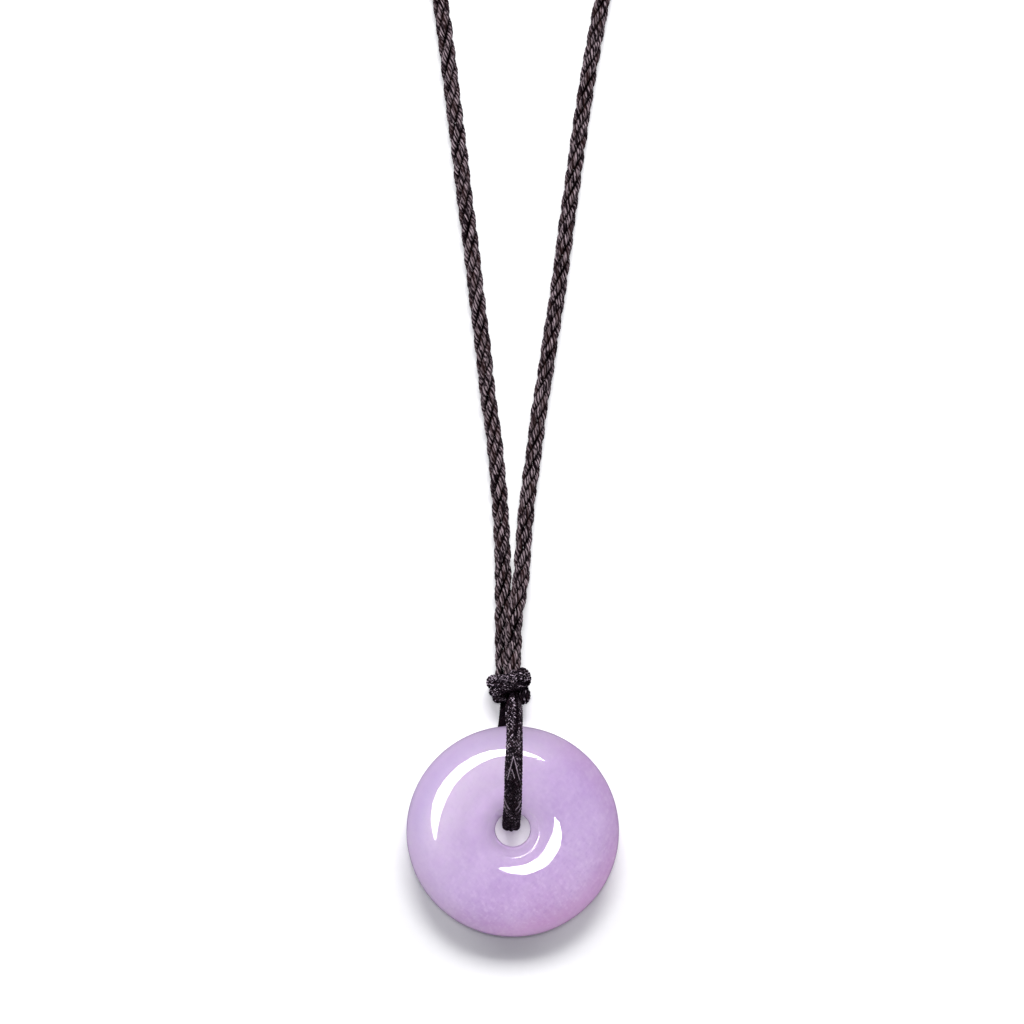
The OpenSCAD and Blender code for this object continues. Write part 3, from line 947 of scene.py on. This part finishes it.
def jade_measures(nodes, from_middle):
    """What the stone's colours go by: how far out, up and to each side, and its marks."""
    split = nodes.add("ShaderNodeSeparateXYZ")
    nodes.join(from_middle, split.inputs["Vector"])
    across = nodes.times(split.outputs["X"], 1 / disc_r)
    up = nodes.times(split.outputs["Y"], 1 / disc_r)
    wide_clouds = nodes.noise(from_middle, *WIDE_CLOUDS)
    ripple = nodes.times(nodes.maths("SUBTRACT", wide_clouds, NOISE_MIDDLE), GROWS_WAVERING)
    grain = [nodes.noise(nodes.scaled(nodes.scaled(from_middle, turn=turn), GRAIN_STRETCH), *GRAIN)
             for turn in GRAIN_TURNS]
    flat = nodes.scaled(from_middle, (1, 1, 0))
    flat_from_hole = nodes.scaled(from_middle, (1, 1, 0), (0, -HOLE_RISE, 0))
    measures = {
        "x": split.outputs["X"],
        "up": up,
        "out": nodes.vector_maths("LENGTH", flat),
        "from_hole": nodes.vector_maths("LENGTH", flat_from_hole),
        "clouds": nodes.noise(from_middle, *CLOUDS),
        "felt": nodes.noise(nodes.scaled(from_middle, location=FELT_SHIFT), *FELT),
        "grain": nodes.maths("ADD", *grain),
    }
    for name, (by_across, by_up) in GROWS.items():
        slope = nodes.maths("ADD", nodes.times(across, by_across), nodes.times(up, by_up))
        measures[name] = nodes.maths("ADD", slope, ripple)
    return measures


def jade_colour(nodes, measures):
    out, high_left, low_right = measures["out"], measures["high_left"], measures["low_right"]
    colour = LAVENDER
    for name, span, laid in LAID_OVER:
        colour = nodes.mix(nodes.span(measures[name], *span), colour, laid)
    strength = nodes.span(low_right, *GRAIN_STRENGTH)
    for span, mark in GRAIN_MARKS:
        colour = nodes.mix(nodes.times(strength, nodes.span(measures["grain"], *span)), colour, mark)
    # Painted light: paler near the hole
    colour = nodes.mix(nodes.span(out, *NEAR_HOLE), colour, PALE_LILAC)
    blue = nodes.times(nodes.span(out, *BLUE_RING), nodes.span(high_left, *BLUE_RING_SHARE))
    colour = nodes.mix(blue, colour, BLUE_LILAC)
    # Painted shade towards the rim, lighter and pinker on the lower right
    near_rim = nodes.span(out, *NEAR_RIM)
    colour = nodes.mix(near_rim, colour, RIM_LILAC)
    rosy_rim = nodes.times(near_rim, nodes.span(low_right, *ROSY_RIM_SHARE))
    return nodes.mix(rosy_rim, colour, RIM_ROSE)


def jade_glow(nodes, measures):
    """Painted light: the stone glows round the hole as if lit through it, and more at its thin edge on
    the hole's lower side.
    """
    from_hole = measures["from_hole"]
    edge = nodes.times(nodes.span(from_hole, *EDGE_GLOWS), nodes.span(measures["up"], *EDGE_GLOWS_LOW))
    soft = nodes.times(nodes.span(from_hole, *SOFT_GLOW_FADES),
                       nodes.span(measures["high_left"], *SOFT_GLOW_HIGH_LEFT),
                       nodes.span(from_hole, *SOFT_GLOW_STARTS))
    return nodes.mix(edge, nodes.mix(soft, BLACK, SOFT_GLOW), EDGE_GLOW)


def jade_normal(nodes, from_middle, x):
    """The polish's slight waves, and reflections that lean further towards the neck on the right."""
    lean_more = nodes.add("ShaderNodeCombineXYZ")
    nodes.join(nodes.times(x, UNEVEN_POLISH), lean_more.inputs["Y"])
    plain = nodes.add("ShaderNodeNewGeometry").outputs["Normal"]
    uneven = nodes.vector_maths("ADD", plain, lean_more.outputs["Vector"])
    relief = nodes.relief(nodes.noise(from_middle, *POLISH), *JADE_RELIEF)
    nodes.join(nodes.vector_maths("NORMALIZE", uneven), relief.inputs["Normal"])
    return relief.outputs["Normal"]


def jade_material():
    material, nodes, shader = new_material("jade")
    place = nodes.add("ShaderNodeTexCoord").outputs["Object"]
    from_middle = nodes.scaled(place, location=tuple(-c for c in disc_middle))
    measures = jade_measures(nodes, from_middle)
    nodes.join(jade_colour(nodes, measures), shader.inputs["Base Color"])
    nodes.join(jade_glow(nodes, measures), shader.inputs["Emission Color"])
    nodes.join(jade_normal(nodes, from_middle, measures["x"]), shader.inputs["Normal"])
    nodes.join(nodes.span(measures["felt"], *JADE_ROUGHNESS), shader.inputs["Roughness"])
    # The stone round the hole lets light fall through, so the hole is light inside
    falling = nodes.add("ShaderNodeLightPath").outputs["Is Shadow Ray"]
    through = nodes.times(falling, nodes.span(measures["out"], *LETS_THROUGH))
    nodes.join(nodes.maths("SUBTRACT", 1.0, through), shader.inputs["Alpha"])
    set_inputs(shader, JADE_SHADER)
    return material


FLOOR_MARKS = (900, 2.0)
FLOOR_TONES = (0.90, 0.90, 0.905), (0.93, 0.93, 0.93)
# How far from the middle the surface starts to be whitened, and where it is white
FLOOR_WHITENED = (0.18, 0.6)
FLOOR_SHADER = {"Roughness": 0.9, "Specular IOR Level": 0.0, "Emission Strength": 1.0}


def floor_material():
    material, nodes, shader = new_material("pale_surface")
    place = nodes.add("ShaderNodeTexCoord").outputs["Object"]
    nodes.join(nodes.mix(nodes.noise(place, *FLOOR_MARKS), *FLOOR_TONES), shader.inputs["Base Color"])
    # Far from the pendant, where the lights don't reach, the surface still looks white
    far = nodes.span(nodes.vector_maths("LENGTH", place), *FLOOR_WHITENED)
    seen = nodes.add("ShaderNodeLightPath").outputs["Is Camera Ray"]
    nodes.join(nodes.mix(nodes.times(seen, far), BLACK, WHITE), shader.inputs["Emission Color"])
    # The white that the camera sees lights nothing
    material.cycles.emission_sampling = "NONE"
    set_inputs(shader, FLOOR_SHADER)
    return material


# Floor and light

FLOOR_SIDE = 6.0
LIGHT_HEIGHT = 0.8
SOFTBOX_SHADER = {
    "Base Color": (*BLACK, 1), "Emission Color": (*WHITE, 1), "Emission Strength": 34,
}
SOFTBOX_STEP = 0.03
# Outline of the soft light that the stone reflects: x and y off the disc, as shares of its height
SOFTBOX_OUTLINE = [
    (0.28, 0.455), (0.17, 0.465), (0.06, 0.44), (-0.05, 0.415), (-0.14, 0.375), (-0.225, 0.315),
    (-0.345, 0.18), (-0.41, 0.04), (-0.43, -0.1), (-0.46, -0.22), (-0.52, -0.34), (-0.6, -0.43),
    (-0.66, -0.44), (-0.76, -0.36), (-0.9, -0.19), (-0.965, -0.03), (-0.93, 0.17), (-0.80, 0.365),
    (-0.65, 0.5), (-0.47, 0.625), (-0.27, 0.71), (-0.08, 0.72), (0.10, 0.66), (0.22, 0.57),
]
PANEL_AIM = Vector((0, 0.04, 0))
PANEL_DISTANCE = 1.5
# Each panel's direction from the object, its width and height, and its power
KEY_PANEL = ((0.04, 0.745, 0.66), (0.85, 0.44), 25.8)
LEFT_FILL_PANEL = ((-0.75, 0.65, 0.5), (0.6, 0.6), 6.3)
RIGHT_FILL_PANEL = ((0.75, 0.65, 0.5), (0.6, 0.6), 6.3)
TOP_PANEL = ((0.0, 0.1, 1.0), (0.33, 0.33), 6.0)
FRONT_PANEL = ((-0.11, 0.05, 1.0), (0.7, 0.7), 23.8)
LEFT_GLINT_PANEL = ((-0.4, 0.5, 0.78), (0.6, 0.6), 42)
RIGHT_GLINT_PANEL = ((0.5, 0.2, 0.84), (0.5, 0.5), 21)
# The even light's strength, and its colour, which isn't what the camera sees
SKY_LIGHT = 0.055
SKY_COLOR = (0.98, 0.9, 1.55)


def add_floor():
    fresh()
    bpy.ops.mesh.primitive_plane_add(size=FLOOR_SIDE, location=(0, 0, 0))
    floor = bpy.context.object
    floor.name = "floor"
    floor.data.materials.append(floor_material())
    floor.visible_glossy = False
    return floor


def collected(name, pieces):
    collection = bpy.data.collections.new(name)
    for piece in pieces:
        collection.objects.link(piece)
    return collection


def light_only(lamp, lit):
    lamp.light_linking.receiver_collection = collected(lamp.name + "_lights", lit)


def softbox_outline():
    """The outline as a smooth closed curve, once round from its first point."""
    closed = SOFTBOX_OUTLINE[-1:] + SOFTBOX_OUTLINE + SOFTBOX_OUTLINE[:2]
    curve, _ = smooth_route([(x, y, 0) for x, y in closed], SOFTBOX_STEP)
    from_start = np.linalg.norm(curve - np.array([*SOFTBOX_OUTLINE[0], 0]), axis=1)
    half = len(curve) // 2
    return curve[np.argmin(from_start[:half]):half + np.argmin(from_start[half:])]


def add_softbox(lit):
    """A bent soft light high on the upper left, seen only as the gloss on the stone."""
    fresh()
    outline = softbox_outline()
    bpy.ops.mesh.primitive_circle_add(vertices=len(outline), radius=1, fill_type="NGON")
    softbox = bpy.context.object
    softbox.name = "softbox"
    for vertex, (x, y, _) in zip(softbox.data.vertices, outline):
        vertex.co = (disc_middle.x + x * LIGHT_HEIGHT, disc_middle.y + y * LIGHT_HEIGHT, LIGHT_HEIGHT)
    material, _, shader = new_material("softbox_glow")
    set_inputs(shader, SOFTBOX_SHADER)
    softbox.data.materials.append(material)
    softbox.visible_camera = False
    softbox.visible_diffuse = False
    softbox.visible_shadow = False
    light_only(softbox, lit)


def add_panel(name, towards, sides, power, lit, glossy=False, shading=()):
    """A soft light that way from the object, for the pieces that it lights alone.

    Only the pieces named as shading cast its shadows; with none named, all do.
    """
    fresh()
    place = PANEL_AIM + PANEL_DISTANCE * Vector(towards).normalized()
    facing = (PANEL_AIM - place).to_track_quat("-Z", "Y").to_euler()
    bpy.ops.object.light_add(type="AREA", location=place, rotation=facing)
    panel = bpy.context.object
    panel.name = name
    panel.data.shape = "RECTANGLE"
    panel.data.size, panel.data.size_y = sides
    panel.data.energy = power
    panel.visible_camera = False
    panel.visible_glossy = glossy
    light_only(panel, lit)
    if shading:
        panel.light_linking.blocker_collection = collected(name + "_shading", shading)


def add_sky():
    """Even light from all round, white to the camera and left out of the gloss."""
    world = bpy.data.worlds.new("studio")
    bpy.context.scene.world = world
    world.use_nodes = True
    world.cycles_visibility.glossy = False
    nodes = Nodes(world.node_tree)
    background = world.node_tree.nodes["Background"]
    seen = nodes.add("ShaderNodeLightPath").outputs["Is Camera Ray"]
    nodes.join(nodes.mix(seen, SKY_COLOR, WHITE), background.inputs["Color"])
    shown = nodes.times(seen, 1 - SKY_LIGHT)
    nodes.join(nodes.maths("ADD", shown, SKY_LIGHT), background.inputs["Strength"])
    bpy.context.scene.view_settings.view_transform = "Standard"


def dress(piece, node):
    """The piece rides with the frame in place of the node."""
    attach(piece, "root")
    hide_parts(node)
    return piece


add_camera()
group = yarn_fibres()
twisted = cord_material("twisted_cord", group, TWISTED_SILK)
braided = cord_material("braided_cord", group, BRAIDED_SILK)
cords = [dress(cord, "neck_cord") for cord in add_neck_cord(twisted)]
cords.append(dress(add_bail(LEFT, "bail_left_braid", braided), "bail_left"))
cords.append(dress(add_bail(RIGHT, "bail_right_braid", braided), "bail_right"))
cords.append(dress(add_knot(braided), "knot"))
disc = dress(add_disc(jade_material()), "jade_disc")

floor = add_floor()
add_softbox([disc])
add_panel("key", *KEY_PANEL, [floor])
add_panel("left_fill", *LEFT_FILL_PANEL, [floor], shading=[disc])
add_panel("right_fill", *RIGHT_FILL_PANEL, [floor], shading=[disc])
add_panel("top", *TOP_PANEL, [floor])
add_panel("front", *FRONT_PANEL, [disc], shading=[disc])
add_panel("left_glints", *LEFT_GLINT_PANEL, cords, glossy=True)
add_panel("right_glints", *RIGHT_GLINT_PANEL, cords, glossy=True)
add_sky()
